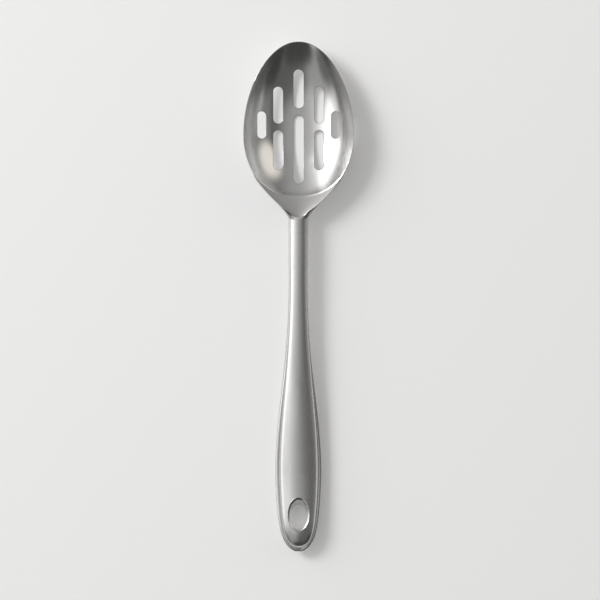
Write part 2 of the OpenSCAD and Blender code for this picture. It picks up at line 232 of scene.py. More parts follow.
def round_angles(count):
    return np.linspace(0, 2 * math.pi, count, endpoint=False)


def bezier(a, b, c, shares):
    """Points of a rounded corner from a towards c round b."""
    return [a * (1 - t) ** 2 + 2 * b * t * (1 - t) + c * t * t for t in shares]


def bow(x, s):
    """How far a point near the end of the trough is drawn back by the bow there."""
    near = np.clip(1 - np.abs(s - CRESCENT) / NECK_WIDTH, 0, None)
    side = np.minimum(1, 2 * np.abs(x) / NECK_WIDTH)
    return CRESCENT_BOW * near ** 2 * (1 - side ** 2)


def placed(x, s, z):
    """Points in metres, in the frame, from places across, behind the tip and up."""
    return np.stack([x, LENGTH / 2 - s - bow(x, s), z], axis=-1) * MM


# The bowl's surfaces

def rear_half(s, reach, power):
    v = np.clip((s - BOWL_FRONT) / reach, 0, 1)
    return BOWL_WIDTH / 2 * (1 - v * v) ** power


def bowl_half(s):
    """Half-width of the bowl over its rim."""
    t = np.clip((BOWL_FRONT - s) / BOWL_FRONT, 0, 1)
    front = BOWL_WIDTH / 2 * np.sqrt(1 - (t * TIP_COSINE) ** 2) * (1 - TIP_PINCH * t * t)
    rear = rear_half(s, RIM_CLOSE - BOWL_FRONT, REAR_POWER)
    return np.where(s < BOWL_FRONT, front, np.maximum(TANG_WIDTH / 2, rear))


def inner_half(s):
    return np.maximum(TIP_FLAT / 2, bowl_half(s) - RIM_INSET)


def outer_station(s):
    """The place of the rim's outer edge for a place on the inside, near the tip."""
    outer = (s - RIM_INSET) * BOWL_FRONT / (BOWL_FRONT - RIM_INSET)
    return np.where(s < BOWL_FRONT, outer, s)


def inner_station(s):
    return np.where(s < BOWL_FRONT, mix(RIM_INSET, BOWL_FRONT, s / BOWL_FRONT), s)


def rim_z(s):
    front = (RIM_HEIGHT - TIP_HEIGHT) * ((BOWL_FRONT - s) / BOWL_FRONT) ** 2
    rear = (RIM_HEIGHT - RIM_NECK_HEIGHT) * ((s - BOWL_FRONT) / BOWL_REAR) ** 2
    return RIM_HEIGHT - np.where(s < BOWL_FRONT, front, rear)


def front_dish(s, side, low):
    """The deep front of the dish, which stays flat until close to the rim."""
    along = np.clip((BOWL_FRONT - s) / BOWL_FRONT, 0, 1) ** TIP_POWER
    return mix(low, rim_z(s), 1 - (1 - along) * (1 - side ** DISH_POWER))


def rear_dish(s, x, low):
    """The dish's rounded rear, part of a bowl that rises past the ridge."""
    far = ((s - BOWL_FRONT) / DISH_REAR) ** 2 + (x / (BOWL_WIDTH / 2)) ** 2
    return mix(low, rim_z(s), far ** (DISH_POWER / 2))


def bowl_z(s, side, half, low):
    """Height of the bowl's surface at a share of its half-width, over a floor at low."""
    side = np.abs(side)
    rim = rim_z(s)
    widest = np.where(half < bowl_half(s), BOWL_WIDTH / 2 - RIM_INSET, BOWL_WIDTH / 2)
    dish = rear_dish(s, side * half * (BOWL_WIDTH / 2) / widest, low)
    depth = mix(rim, RIM_NECK_HEIGHT, TROUGH_FALL) - TROUGH_FLOOR
    trough = rim - depth * (1 - side ** 2)
    start = smooth((s - BOWL_FRONT) / (DISH_REAR / 2))
    ridge = round_min(dish, trough, RIDGE_ROUND * (1 - side ** 2))
    rear = np.minimum(rim, mix(dish, ridge, start))
    return np.where(s < BOWL_FRONT, front_dish(s, side, low), rear)


def under_drop(s, side):
    """How much lower the underside is than a surface of the same form that meets the rim."""
    front = RIM_DROP * (side ** 2 + (1 - s / BOWL_FRONT) ** 2 * (1 - side ** 2))
    raised = BOWL_WALL * smooth((s - BOWL_FRONT) / DISH_REAR)
    return np.where(s < BOWL_FRONT, front, mix(raised, RIM_DROP, side ** 2))


def inside_z(x, s):
    outer = np.maximum(0, outer_station(s))
    half = inner_half(outer)
    return bowl_z(outer, x / half, half, BOWL_WALL)


def underside_z(x, s):
    s = np.maximum(0, s)
    half = bowl_half(s)
    return bowl_z(s, x / half, half, 0) - under_drop(s, x / half)


# The handle's skins

def ending(s, finish):
    """Share of the way from the handle's widest place to its finish."""
    return np.clip((s - HANDLE_WIDE) / (finish - HANDLE_WIDE), 0, 1)


def end_round(v):
    return np.sqrt(1 - (v * END_NOSE) ** END_ROUND_POWER)


def flare(s):
    """Share of the way from the neck's section to the widest one."""
    u = np.clip((s - FLARE_START) / (HANDLE_WIDE - FLARE_START), 0, 1)
    return (1 - np.cos(math.pi * u ** FLARE_POWER)) / 2


def handle_half(s, inset):
    v = ending(s, LENGTH - inset)
    wide = mix(NECK_WIDTH, HANDLE_WIDTH, flare(s)) / 2 - inset
    return wide * (1 - END_TAPER * v ** END_TAPER_POWER) * end_round(v)


def handle_up(s, inset):
    return (mix(NECK_TOP, HANDLE_TOP, flare(s)) - inset) * end_round(ending(s, LENGTH - inset))


def handle_down(s, inset):
    full = mix(NECK_BOTTOM, HANDLE_BOTTOM, flare(s)) - inset
    return full * end_round(ending(s, LENGTH - inset))


def handle_z(s):
    """Height of the handle's middle line."""
    u = np.clip((s - CRESCENT) / (HANDLE_WIDE - CRESCENT), 0, 1)
    base = mix(NECK_HEIGHT, HANDLE_BOTTOM, smooth(u))
    end = END_RISE * ending(s, LENGTH) ** END_RISE_POWER
    return base + CREST_RISE * np.sin(math.pi * u) ** 2 + end


def outline_half(s, inset):
    """Half-width of the lower shell, which widens into the bowl's outline."""
    rear = rear_half(s, RIM_CLOSE - BOWL_FRONT + 2 * CRADLE_EDGE, OUTER_REAR_POWER)
    joined = round_max(rear, handle_half(s, 0), CRADLE_JOIN) - inset
    return np.where(s > FLARE_START, handle_half(s, inset), joined)


def cradle_share(s):
    return smooth((s - CRADLE_FRONT) / (CRADLE_FULL - CRADLE_FRONT))


def cradle_edge_z(s):
    return rim_z(np.minimum(s, CRESCENT)) - RIM_DROP - BOWL_CLEARANCE


def cradle_floor(s):
    near = np.minimum(s, CRESCENT)
    under = bowl_z(near, np.zeros_like(near), bowl_half(near), 0) - under_drop(near, 0)
    return np.minimum(under, NECK_HEIGHT - NECK_BOTTOM + CRADLE_EDGE) - 2 * BOWL_CLEARANCE


def ledge_drop(s):
    """Share of the oval section's height that the lower shell's ledge lacks, none at the neck."""
    return (1 - LEDGE_HEIGHT) * flare(s)


def ledge_back(s, a):
    """How far the skin is drawn back at the end of the handle, which bares the ledge."""
    turn = np.minimum(1, (1 - np.abs(np.cos(a))) / (1 - math.cos(SEAM)))
    return END_LEDGE * np.where(np.sin(a) > 0, turn, 0) * ending(s, LENGTH) ** LEDGE_BACK_POWER


def dome(s, up, side):
    """Share of the way up from the seam to the crest, from the sine and cosine of the angle."""
    fall = math.sin(SEAM) * ledge_drop(s)
    wall = fall * (side / math.cos(SEAM)) ** LEDGE_WALL_POWER
    return (up - wall - math.sin(SEAM) + fall) / (1 - math.sin(SEAM) + fall)


def skin_angle(t, upper):
    """The angle round a section for a share of the way round a shell's skin."""
    return SEAM + t * (math.pi - 2 * SEAM) if upper else SEAM - t * (math.pi + 2 * SEAM)


def grip_section(s, a, inset):
    """(x, z) of the lower shell's skin behind the neck, at an angle round its section."""
    up = np.sin(a)
    sink = inset * end_round(ending(s, LENGTH)) / math.sin(SEAM)
    ledge = mix(handle_up(s, inset), -sink, ledge_drop(s))
    height = np.where(up > 0, ledge, handle_down(s, inset))
    flat = 1 - (1 - np.clip(up / math.sin(SEAM), 0, 1)) ** LEDGE_FLAT_POWER
    rise = np.where(up > 0, mix(up, math.sin(SEAM) * flat, flare(s)), up)
    return outline_half(s, inset) * np.cos(a), handle_z(s) + height * rise


def cradle_section(s, side, inset):
    """(x, z) of the lower shell's front, at a share of its half-width."""
    depth = np.minimum(1, inset / SHELL_WALL)
    x = mix(outline_half(s, 0), bowl_half(s) + BOWL_CLEARANCE, depth) * side
    low = cradle_floor(s) - CRADLE_EDGE * (1 - depth)
    return x, mix(low, cradle_edge_z(s), np.abs(side) ** DISH_POWER)


def lower_skin(s, t, inset):
    """(x, z) of the lower shell's skin, t going from 0 to 1 round its underside."""
    grip_x, grip_z = grip_section(s, skin_angle(t, False), inset)
    cup_x, cup_z = cradle_section(s, 1 - 2 * t, inset)
    share = cradle_share(s)
    return mix(cup_x, grip_x, share), mix(cup_z, grip_z, share)


def nose(s):
    """The upper shell's share of its full height over the rounded nose at its front."""
    u = np.clip((s - HANDLE_FRONT) / NOSE_LENGTH, 0, 1)
    return 1 - (1 - u) ** NOSE_POWER


def upper_skin(s, t, inset):
    """(x, z) of the upper shell's skin, t going from 0 to 1 over its top."""
    a = skin_angle(t, True)
    edge_x, edge_z = lower_skin(s, np.zeros_like(t), inset)
    crest = handle_z(s) + handle_up(s, inset)
    full = mix(edge_z, crest, dome(s, np.sin(a), np.abs(np.cos(a))))
    within = inset > SEAM_BEVEL
    front_wall = within & (nose(s) < 1)
    tang_gap = TROUGH_FLOOR + BOWL_CLEARANCE
    rounded = np.where(front_wall, tang_gap, mix(tang_gap + NOSE_EDGE, full, nose(s)))
    kept = (t == 0) | (t == 1) | (within & ~front_wall)
    x = edge_x * np.cos(a) / math.cos(SEAM)
    return x, np.where(kept, full, np.minimum(full, rounded))


def inner_place(s):
    """The place of the inner skin's row for a row of the outer one, short of the end's wall."""
    share = (s - HANDLE_WIDE) / HANDLE_WIDE_BACK
    return np.where(s < HANDLE_WIDE, s, mix(HANDLE_WIDE, LENGTH - SHELL_WALL, share))


# Meshes

def make_piece(name, verts, faces, node, material):
    mesh = bpy.data.meshes.new(name)
    mesh.from_pydata([tuple(v) for v in verts], [], [tuple(int(i) for i in f) for f in faces])
    mesh.validate()
    mesh.shade_smooth()
    mesh.set_sharp_from_angle(angle=SHARP_ANGLE)
    piece = bpy.data.objects.new(name, mesh)
    bpy.context.scene.collection.objects.link(piece)
    mesh.materials.append(material)
    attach(piece, "root")
    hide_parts(node)
    return piece


def strip(a, b, flip=False):
    """Quads between two equally long rows of vertex numbers."""
    quads = [(a[i], a[i + 1], b[i + 1], b[i]) for i in range(len(a) - 1)]
    return [q[::-1] for q in quads] if flip else quads


def slot_loop(slot, grow):
    """A closed loop round a slot, grown outwards, as places (x, s)."""
    across, start, long, wide = slot
    half = wide / 2
    run = int((long - wide) / SLOT_STEP)
    points = []
    for end, near, far in ((1, start + long - half, start + half),
                           (-1, start + half, start + long - half)):
        reach = end * (half + grow)
        for i in range(SLOT_END_STEPS + 1):
            a = math.pi * i / SLOT_END_STEPS
            points.append((across + reach * math.cos(a), near + reach * math.sin(a)))
        points += [(across - reach, mix(near, far, (i + 1) / (run + 1))) for i in range(run)]
    return np.array(points)


def rim_loop():
    """The bowl's outline as stations and shares of the half-width, closed behind the trough."""
    tip_angle = math.asin(TIP_FLAT / BOWL_WIDTH)
    front = [
        BOWL_FRONT * (1 - math.cos(mix(tip_angle, math.pi / 2, i / FRONT_STEPS)) / TIP_COSINE)
        for i in range(FRONT_STEPS)
    ]
    rear = [
        mix(BOWL_FRONT, CRESCENT, math.sin(math.pi / 2 * i / REAR_STEPS))
        for i in range(REAR_STEPS + 1)
    ]
    stations = front + rear
    right = [(s, 1.0) for s in stations]
    across = [(CRESCENT, 1 - 2 * i / TROUGH_STEPS) for i in range(1, TROUGH_STEPS)]
    left = [(s, -1.0) for s in reversed(stations)]
    tip = [(0.0, -1 + 2 * i / TIP_STEPS) for i in range(1, TIP_STEPS)]
    loop = np.array(right + across + left + tip)
    return loop[:, 0], loop[:, 1]


def drawn_in(points, distance):
    """Points (x, s) drawn in towards the middle of the bowl."""
    centre = np.array([0.0, BOWL_FRONT])
    away = points - centre
    far = np.linalg.norm(away, axis=1, keepdims=True)
    return centre + away * (1 - distance / far)


def inside(points, rim, grow):
    """Whether places are inside the rim's loop and outside every slot grown by a distance."""
    x, s = points[:, 0], points[:, 1]
    within = np.zeros(len(points), bool)
    ax, ay = rim[:, 0], rim[:, 1]
    bx, by = np.roll(ax, -1), np.roll(ay, -1)
    for i in range(len(rim)):
        crosses = (ay[i] > s) != (by[i] > s)
        if crosses.any():
            at = ax[i] + (s - ay[i]) / (by[i] - ay[i]) * (bx[i] - ax[i])
            within ^= crosses & (x < at)
    for across, start, long, wide in SLOTS:
        half = wide / 2
        nearest = np.clip(s, start + half, start + long - half)
        within &= np.hypot(x - across, s - nearest) > half + grow * FILL_SLACK
    return within


def fill_grid(rim, points):
    """Places of an even grid inside the rim and the slots' loops, kept off the loops' points."""
    columns = np.arange(-FILL_COLUMNS, FILL_COLUMNS)
    rows = np.arange(FILL_START, CRESCENT, FILL_SPACING * math.sqrt(3) / 2)
    grid = np.concatenate([
        np.stack([(columns + (k % 2) / 2) * FILL_SPACING, np.full(len(columns), s)], axis=1)
        for k, s in enumerate(rows)
    ])
    near = np.min([
        np.min(np.hypot(grid[:, :1] - part[:, 0], grid[:, 1:] - part[:, 1]), axis=1)
        for part in np.array_split(points, 3)
    ], axis=0)
    return grid[(near > FILL_GAP * FILL_SPACING) & inside(grid, rim, 0)]


def fill(rim, slots):
    """Triangles inside the rim's loop and round the slots': (places, triangles, loops' numbers)."""
    loops = [rim] + slots
    points = np.concatenate(loops)
    numbers, edges, first = [], [], 0
    for loop in loops:
        ids = list(range(first, first + len(loop)))
        numbers.append(ids)
        edges += zip(ids, ids[1:] + ids[:1])
        first += len(loop)
    everything = [Vector(p) for p in np.concatenate([points, fill_grid(rim, points)])]
    verts, _, tris, origin, _, _ = delaunay_2d_cdt(everything, edges, [], 0, FILL_TOLERANCE, True)
    verts = np.array([tuple(v) for v in verts])
    tris = np.array([tuple(t) for t in tris])
    tris = tris[inside(verts[tris].mean(axis=1), rim, SLOT_ROUND)]
    moved = {old: new for new, olds in enumerate(origin) for old in olds}
    return verts, tris, [[moved[i] for i in ids] for ids in numbers]


def turned(points, tris, way):
    """Triangles wound so that they face up (1) or down (-1)."""
    a, b, c = points[tris[:, 0]], points[tris[:, 1]], points[tris[:, 2]]
    facing = np.cross(b - a, c - a)[:, 2] * way > 0
    return np.where(facing[:, None], tris, tris[:, ::-1])


def on_surface(places, height):
    return placed(places[:, 0], places[:, 1], height(places[:, 0], places[:, 1]))


def surface_normals(height, places, way):
    """Normals of a height surface that face up (1) or down (-1), taken a hair inside the rim."""
    x = NORMAL_SHARE * places[:, 0]
    s = BOWL_FRONT + NORMAL_SHARE * (places[:, 1] - BOWL_FRONT)
    h = NORMAL_STEP
    dx = (height(x + h, s) - height(x - h, s)) / (2 * h)
    ds = (height(x, s + h) - height(x, s - h)) / (2 * h)
    n = np.stack([-dx, ds, np.ones_like(dx)], axis=1)
    return way * n / np.linalg.norm(n, axis=1, keepdims=True)


def set_bowl_normals(mesh, top_places, low_places):
    """Gives both wide surfaces, whose points come first, the exact normals of their formulas."""
    normals = np.zeros((len(mesh.loops), 3), np.float32)
    mesh.corner_normals.foreach_get("vector", normals.ravel())
    index = np.zeros(len(mesh.loops), np.int32)
    mesh.loops.foreach_get("vertex_index", index)
    exact = np.concatenate([
        surface_normals(inside_z, top_places, 1),
        surface_normals(underside_z, low_places, -1),
    ])
    wide = index < len(exact)
    normals[wide] = exact[index[wide]]
    mesh.normals_split_custom_set([tuple(n) for n in normals])


def rim_rings(inner, outer, top_edge, low_edge):
    """Rings of points round the rim, from the inside's edge over to the underside's."""
    rim_top, rim_low = on_surface(inner, inside_z), on_surface(outer, underside_z)
    middle = (rim_top + rim_low) / 2
    over = bezier(top_edge, rim_top, middle, RIM_OVER)
    return over + [middle] + bezier(middle, rim_low, low_edge, RIM_UNDER)


def slot_rings(loop, top_edge, low_edge):
    """Rings of points down the wall of a slot, with both of its edges rounded."""
    x, s = loop[:, 0], loop[:, 1]
    high, deep = inside_z(x, s), underside_z(x, s)
    upper, lower = placed(x, s, high - SLOT_ROUND), placed(x, s, deep + SLOT_ROUND)
    over = bezier(top_edge, placed(x, s, high), upper, SLOT_OVER)
    return over + [upper, lower] + bezier(lower, placed(x, s, deep), low_edge, SLOT_UNDER)


def make_tang(first):
    """The flat tongue just under the trough's floor: a closed box, numbered from first."""
    stations = np.linspace(CRESCENT - TANG_OVERLAP, CRESCENT + TANG_LENGTH, TANG_STATIONS)
    across = np.array([-TANG_WIDTH / 2, TANG_WIDTH / 2])
    top = TROUGH_FLOOR - TANG_SINK
    rows = [
        placed(across * (TANG_TAPER if s < CRESCENT else 1), np.full(2, s), np.full(2, z))
        for s in stations
        for z in (top, top - TANG_THICKNESS)
    ]
    last = first + 4 * (len(stations) - 1)
    faces = [(first + 1, first, first + 2, first + 3), (last, last + 1, last + 3, last + 2)]
    for a in range(first, last, 4):
        b = a + 4
        faces += [(a, a + 1, b + 1, b), (a + 3, a + 2, b + 2, b + 3)]
        faces += [(a + 2, a, b, b + 2), (a + 1, a + 3, b + 3, b + 1)]
    return np.concatenate(rows), faces


def make_bowl(material):
    station, share = rim_loop()
    outer = np.stack([share * bowl_half(station), station], axis=1)
    inner = np.stack([share * inner_half(station), inner_station(station)], axis=1)
    grown = [slot_loop(slot, SLOT_ROUND) for slot in SLOTS]
    top_places, top_tris, top_loops = fill(drawn_in(inner, RIM_ROUND), grown)
    low_places, low_tris, low_loops = fill(drawn_in(outer, RIM_ROUND_UNDER), grown)
    top, low = on_surface(top_places, inside_z), on_surface(low_places, underside_z)
    walls = [rim_rings(inner, outer, top[top_loops[0]], low[low_loops[0]])]
    for slot, top_loop, low_loop in zip(SLOTS, top_loops[1:], low_loops[1:]):
        walls.append(slot_rings(slot_loop(slot, 0), top[top_loop], low[low_loop]))

    verts = [top, low]
    faces = list(turned(top, top_tris, 1)) + list(turned(low, low_tris, -1) + len(top))
    count = len(top) + len(low)
    for rings, top_loop, low_loop in zip(walls, top_loops, low_loops):
        rows = [top_loop]
        for ring in rings:
            verts.append(ring)
            rows.append(list(range(count, count + len(ring))))
            count += len(ring)
        rows.append([i + len(top) for i in low_loop])
        for a, b in zip(rows[:-1], rows[1:]):
            faces += strip(a + a[:1], b + b[:1])
    tang_verts, tang_faces = make_tang(count)
    verts, faces = np.concatenate(verts + [tang_verts]), faces + tang_faces
    bowl = make_piece("slotted_bowl", verts, faces, "bowl", material)
    set_bowl_normals(bowl.data, top_places, low_places)


def shell_piece(name, outer, inner, under, node, material):
    """A closed shell between two grids of points, each with one row for each station."""
    rows, wide = outer.shape[:2]
    verts = np.concatenate([outer.reshape(-1, 3), inner.reshape(-1, 3)])
    out = np.arange(rows * wide).reshape(rows, wide)
    inn = out + rows * wide
    faces = []
    for i in range(rows - 1):
        faces += strip(out[i], out[i + 1])
        faces += strip(inn[i], inn[i + 1], flip=True)
        faces += [(out[i, 0], out[i + 1, 0], inn[i + 1, 0], inn[i, 0])]
        faces += [(inn[i, -1], inn[i + 1, -1], out[i + 1, -1], out[i, -1])]
    faces += strip(out[0], inn[0], flip=True)
    faces += [tuple(out[-1]), tuple(inn[-1][::-1])]
    faces += [(out[-1, 0], out[-1, -1], inn[-1, -1], inn[-1, 0])]
    if under:
        faces = [f[::-1] for f in faces]
    return make_piece(name, verts, faces, node, material)


def handle_stations():
    turn = HANDLE_FRONT + NOSE_LENGTH * (1 - np.cos(np.linspace(0, np.pi / 2, NOSE_STATIONS)))
    neck = np.linspace(turn[-1], FLARE_START, NECK_STATIONS)[1:]
    grip = np.linspace(FLARE_START, HANDLE_WIDE, GRIP_STATIONS)[1:]
    steps = np.arange(1, END_STEPS + 1) / END_STEPS
    end = HANDLE_WIDE + HANDLE_WIDE_BACK * np.sin(np.pi / 2 * steps)
    return np.concatenate([turn, neck, grip, end])


def skin_shares(s, upper, inset):
    """Shares of the way round a skin for each station, and the depth of each column.

    The outer skin's first and last two columns round the seam's edges by a small bevel.
    """
    if inset > 0:
        shares = np.broadcast_to(np.linspace(0, 1, SKIN_COLUMNS), s.shape + (SKIN_COLUMNS,))
        return shares, np.full(SKIN_COLUMNS, inset)
    turn = SEAM_BEVEL / np.maximum(outline_half(s, 0), TINY)
    start = np.minimum(BEVEL_MOST, turn / (math.pi + (-2 if upper else 2) * SEAM))[..., None]
    between = start + (1 - 2 * start) * np.linspace(0, 1, SKIN_COLUMNS - 4)
    edge, step = np.zeros_like(start), BEVEL_STEP * start
    depth = np.zeros(SKIN_COLUMNS)
    depth[[0, -1]] = SEAM_BEVEL
    depth[[1, -2]] = SEAM_BEVEL * BEVEL_STEP
    return np.concatenate([edge, step, between, 1 - step, 1 - edge], axis=-1), depth


def skin_points(skin, s, t, depth):
    """(x, z) of a skin for rows of stations and shares, each column at a depth of its own."""
    columns = [skin(s[..., j], t[..., j], float(depth[j])) for j in range(SKIN_COLUMNS)]
    return tuple(np.stack(values, axis=-1) for values in zip(*columns))


def skin_grid(upper, inset):
    """A grid of points over a skin, one row for each station."""
    stations = handle_stations()
    t, depth = skin_shares(stations, upper, inset)
    s = np.broadcast_to(stations[:, None], t.shape)
    x, z = skin_points(upper_skin if upper else lower_skin, s, t, depth)
    at = inner_place(s) if inset > 0 else s
    return placed(x, at - ledge_back(s, skin_angle(t, upper)), z)


def cradle_grid(inset):
    """The lower shell's front, whose edge is notched between two arms along the bowl's rim."""
    side = 1 - 2 * np.linspace(0, 1, SKIN_COLUMNS)
    edge = CRADLE_FRONT + CRADLE_NOTCH * (1 - side ** 2)
    s = mix(edge, HANDLE_FRONT, np.arange(CRADLE_STEPS)[:, None] / CRADLE_STEPS)
    shares, depth = skin_shares(s, False, inset)
    t = np.diagonal(shares, axis1=1, axis2=2)
    x, z = skin_points(lower_skin, s, t, depth)
    return placed(x, s, z)


def make_handle(upper, name, node, material):
    outer, inner = skin_grid(upper, 0), skin_grid(upper, SHELL_WALL)
    if not upper:
        outer = np.concatenate([cradle_grid(0), outer])
        inner = np.concatenate([cradle_grid(SHELL_WALL), inner])
    cut_hole(shell_piece(name, outer, inner, not upper, node, material))


# The hanging hole and its sleeve

def hole_point(a, grow, along):
    """Places on the leaning oval opening, grown outwards, at a distance along its axis."""
    x = (HOLE_WIDTH / 2 + grow) * np.cos(a)
    y = (HOLE_LENGTH / 2 + grow) * np.sin(a)
    s = HOLE_PLACE - y * math.cos(HOLE_LEAN) - along * math.sin(HOLE_LEAN)
    z = along * math.cos(HOLE_LEAN) - y * math.sin(HOLE_LEAN) + handle_z(np.array(HOLE_PLACE))
    return x, s, z


def skin_z(x, s, upper):
    """Height of the handle's outside, over or under a place."""
    side = np.minimum(1, np.abs(x) / handle_half(s, 0))
    lift = np.sqrt(1 - side ** 2)
    if not upper:
        return handle_z(s) - handle_down(s, 0) * lift
    seam = math.sin(SEAM) * (1 - ledge_drop(s))
    return handle_z(s) + handle_up(s, 0) * mix(seam, 1, dome(s, lift, side))


def seat_point(a, grow, rise, upper):
    """Points round the opening that stand off the skin by rise."""
    along = np.zeros_like(a)
    for _ in range(SEAT_ROUNDS):
        x, s, z = hole_point(a, grow, along)
        along = along + skin_z(x, s, upper) + (rise if upper else -rise) - z
    return hole_point(a, grow, along)


def cut_hole(piece):
    """Cuts the oval opening through a shell."""
    grow = SLEEVE_WALL + SLEEVE_CLEARANCE
    a = round_angles(HOLE_STEPS)
    rings = [placed(*hole_point(a, grow, along)) for along in (-HOLE_CUT_REACH, HOLE_CUT_REACH)]
    low, high = list(range(HOLE_STEPS)), list(range(HOLE_STEPS, 2 * HOLE_STEPS))
    faces = strip(low + low[:1], high + high[:1]) + [low[::-1], high]
    mesh = bpy.data.meshes.new("hole_cutter")
    mesh.from_pydata([tuple(v) for v in np.concatenate(rings)], [], faces)
    cutter = bpy.data.objects.new("hole_cutter", mesh)
    bpy.context.scene.collection.objects.link(cutter)
    cut = piece.modifiers.new("hanging_hole", "BOOLEAN")
    cut.operation, cut.solver, cut.object = "DIFFERENCE", "EXACT", cutter
    bpy.context.view_layer.update()
    finished = piece.evaluated_get(bpy.context.evaluated_depsgraph_get())
    mesh = bpy.data.meshes.new_from_object(finished)
    piece.modifiers.clear()
    piece.data = mesh
    bpy.data.objects.remove(cutter)


def lip_profile(crest, height):
    """A rounded lip as (grown, risen) points, from its seat on the shell in to the opening."""
    lip = SLEEVE_WALL + SLEEVE_LIP
    seat, shoulder, top, edge, end = (np.array(corner) for corner in (
        (lip, SLEEVE_CLEARANCE),
        (lip, LIP_SHOULDER * height),
        (crest, height),
        (0.0, -height / 2),
        (0.0, -LIP_FALL * height),
    ))
    outer, inner = (shoulder + top) / 2, mix(top, edge, LIP_TURN)
    profile = [seat] + bezier(seat, shoulder, outer, LIP_ROUND)
    return profile + bezier(outer, top, inner, LIP_ROUND) + bezier(inner, edge, end, LIP_ROUND)


def make_sleeve(material):
    """The oval liner: a funnel over the upper shell and a rolled lip over the lower one."""
    a = round_angles(SLEEVE_STEPS)
    hidden = (SLEEVE_WALL, SLEEVE_CLEARANCE)
    funnel = [hidden] + lip_profile(SLEEVE_WALL + SLEEVE_LIP * LIP_CREST, LIP_HEIGHT)
    rolled = [hidden] + lip_profile(SLEEVE_WALL / 2, LIP_HEIGHT / 2)
    rings = [seat_point(a, grow, rise, True) for grow, rise in funnel]
    rings += [seat_point(a, grow, rise, False) for grow, rise in reversed(rolled)]
    verts = np.concatenate([placed(*ring) for ring in rings])
    rows = [list(range(k * SLEEVE_STEPS, (k + 1) * SLEEVE_STEPS)) for k in range(len(rings))]
    faces = []
    for row, following in zip(rows, rows[1:] + rows[:1]):
        faces += strip(row + row[:1], following + following[:1])
    make_piece("hole_sleeve", verts, faces, "hanging_hole_sleeve", material)


# Materials

# The clouds, the polishing lines, and the part of their noise that counts
CLOUD_SCALE = 45.0
CLOUD_DETAIL = 3.0
CLOUD_DARK = 0.965
CLOUD_LIGHT = 1.03
CLOUD_SHARE = 0.35
LINE_DETAIL = 4.0
NOISE_LOW = 0.3
NOISE_HIGH = 0.7
LINE_RELIEF = 0.02


def add_node(tree, kind, values, links, **settings):
    """A new node with its settings, then the values and the links of its inputs."""
    node = tree.nodes.new(kind)
    for name, value in settings.items():
        setattr(node, name, value)
    for name, value in values.items():
        node.inputs[name].default_value = value
    for name, output in links.items():
        tree.links.new(output, node.inputs[name])
    return node


def node_material(name):
    material = bpy.data.materials.new(name)
    material.use_nodes = True
    tree = material.node_tree
    return material, tree, tree.nodes["Principled BSDF"]


def steel(name, tint, rough, rough_spread, grain, stretch, bump, anisotropy):
    """Stainless steel: fine polishing lines in roughness and bump, faint clouds in its tone."""
    material, tree, shader = node_material(name)
    place = tree.nodes.new("ShaderNodeTexCoord").outputs["Object"]
    lines_at = add_node(tree, "ShaderNodeMapping", {"Scale": stretch}, {"Vector": place})
    lines = add_node(
        tree, "ShaderNodeTexNoise",
        {"Scale": grain, "Detail": LINE_DETAIL}, {"Vector": lines_at.outputs["Vector"]},
    ).outputs["Fac"]
    clouds = add_node(
        tree, "ShaderNodeTexNoise",
        {"Scale": CLOUD_SCALE, "Detail": CLOUD_DETAIL}, {"Vector": place},
    ).outputs["Fac"]
    dark, light = ((*[share * c for c in tint], 1) for share in (CLOUD_DARK, CLOUD_LIGHT))
    tone = add_node(
        tree, "ShaderNodeMix", {"A": dark, "B": light}, {"Factor": clouds}, data_type="RGBA",
    )
    blend = add_node(
        tree, "ShaderNodeMix", {"Factor": CLOUD_SHARE}, {"A": lines, "B": clouds},
    )
    spread = add_node(
        tree, "ShaderNodeMapRange",
        {
            "From Min": NOISE_LOW, "From Max": NOISE_HIGH,
            "To Min": rough - rough_spread, "To Max": rough + rough_spread,
        },
        {"Value": blend.outputs["Result"]},
    )
    relief = add_node(
        tree, "ShaderNodeBump", {"Strength": bump, "Distance": LINE_RELIEF * MM}, {"Height": lines},
    )
    tree.links.new(tone.outputs["Result"], shader.inputs["Base Color"])
    tree.links.new(spread.outputs["Result"], shader.inputs["Roughness"])
    tree.links.new(relief.outputs["Normal"], shader.inputs["Normal"])
    shader.inputs["Metallic"].default_value = 1.0
    shader.inputs["Anisotropic"].default_value = anisotropy
    return material


# Stage, lamps and camera

# The sky's tone from -X to +X as (share of the way, tone), and near the horizon
SKY = (
    (0.0, 1.0), (0.04, 1.1), (0.14, 1.28), (0.2, 1.3), (0.2575, 1.1), (0.305, 0.88),
    (0.395, 0.62), (0.5, 0.47), (0.6, 0.42), (0.66, 0.34), (0.71, 0.26), (0.76, 0.18),
    (0.82, 0.12), (0.86, 0.14), (0.92, 0.26), (1.0, 0.27),
)
HORIZON_TONE = 0.06
HORIZON_FROM = 0.02
HORIZON_TO = 0.2
# Soft patches of the sky: turn round Z, angle from straight up, full to, gone at, colour
GLOWS = (
    (-62, 44, 28, 42, (0.14, 0.14, 0.14)),
    (-138, 52, 20, 38, (0.42, 0.42, 0.42)),
    (-90, 66, 20, 34, (0.07, 0.07, 0.07)),
    (-35, 76, 14, 28, (0.05, 0.05, 0.05)),
    (-147, 76, 10, 24, (0.16, 0.16, 0.16)),
    (34, 64, 12, 27, (1.13, 1.08, 1.0)),
    (147, 82, 21, 31, (2.0, 2.0, 2.0)),
    (175, 60, 8, 17, (1.9, 1.9, 1.9)),
    (-6, 84, 5, 11, (0.85, 0.85, 0.85)),
)

# The lamp, its power in watts
LAMP_PLACE = (-1870.0, 1150.0, 1900.0)
LAMP_SIZE = 1000.0
LAMP_POWER = 46.0

# The floor, its plain tone, and that tone's share in what is seen
FLOOR_HALF = 3000.0
FLOOR_GAP = 0.2
FLOOR_COLOUR = (0.86, 0.86, 0.855)
FLOOR_ROUGHNESS = 0.6
FLOOR_TONE = 0.94
FLOOR_SHARE = 0.18

